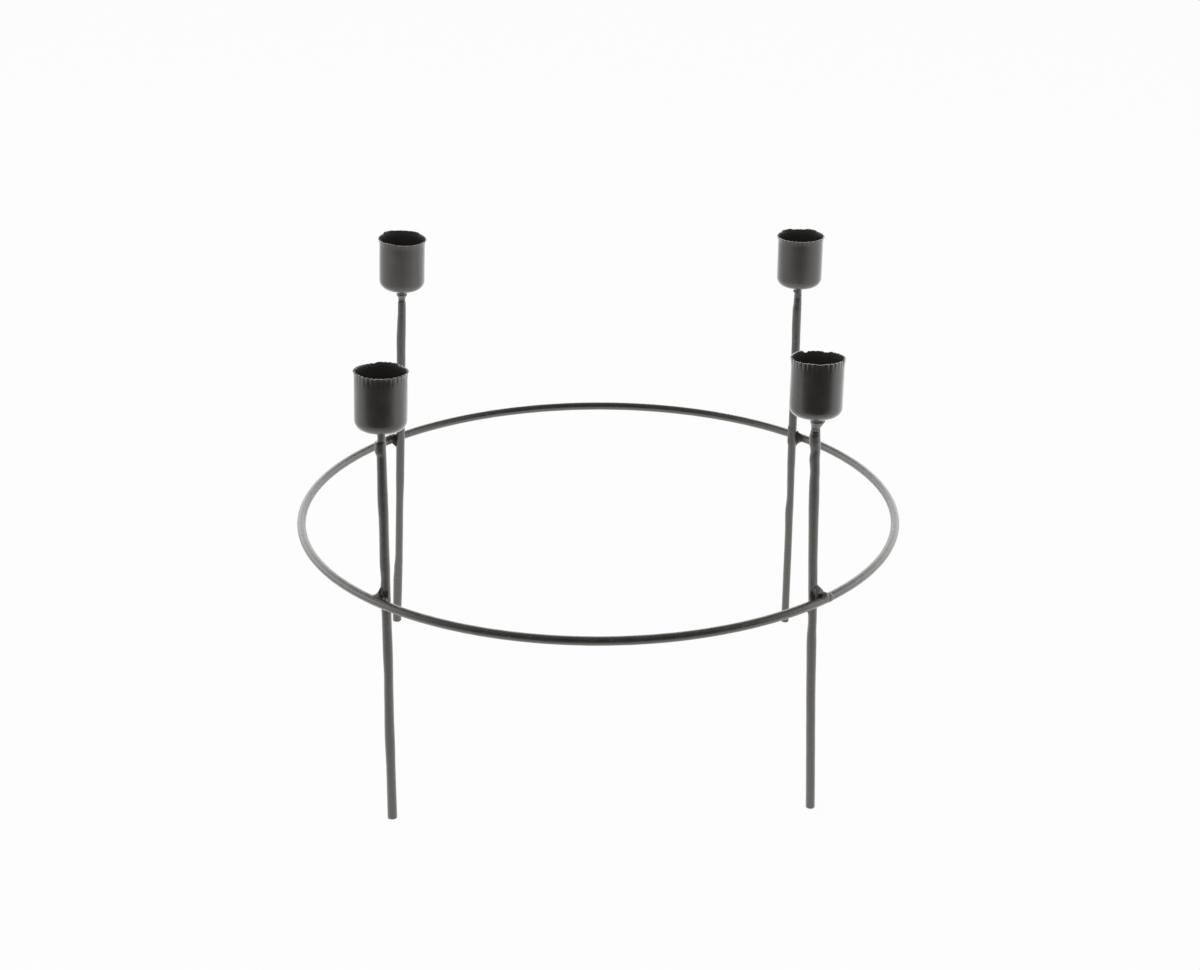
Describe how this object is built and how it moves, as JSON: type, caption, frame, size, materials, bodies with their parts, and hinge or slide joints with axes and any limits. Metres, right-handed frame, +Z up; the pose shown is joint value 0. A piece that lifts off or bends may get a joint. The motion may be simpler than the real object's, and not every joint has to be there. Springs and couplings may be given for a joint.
{
  "type": "advent candle holder",
  "caption": "Wire hoop on upright welded stems, each topped by a crimped sheet cup for a dinner candle, painted black.",
  "frame": {"origin": "on the table, under the middle of the hoop", "axes": "+Z up; -Y towards the front, where the picture's camera stands; +X to the right as seen from the front"},
  "size_m": [0.3, 0.3, 0.2278],
  "materials": {
    "wire_paint": "satin black paint",
    "cup_paint": "satin black paint",
    "weld_paint": "satin black paint over rough weld metal"
  },
  "bodies": {
    "root": {"hoop": "wire_paint", "hoop_seam_weld": "weld_paint", "stem_front_left": "wire_paint", "stem_front_right": "wire_paint", "stem_back_left": "wire_paint", "stem_back_right": "wire_paint", "stem_weld_front_left": "weld_paint", "stem_weld_front_right": "weld_paint", "stem_weld_back_left": "weld_paint", "stem_weld_back_right": "weld_paint", "cup_front_left": "cup_paint", "cup_front_right": "cup_paint", "cup_back_left": "cup_paint", "cup_back_right": "cup_paint", "cup_weld_front_left": "weld_paint", "cup_weld_front_right": "weld_paint", "cup_weld_back_left": "weld_paint", "cup_weld_back_right": "weld_paint"}
  },
  "joints": []
}
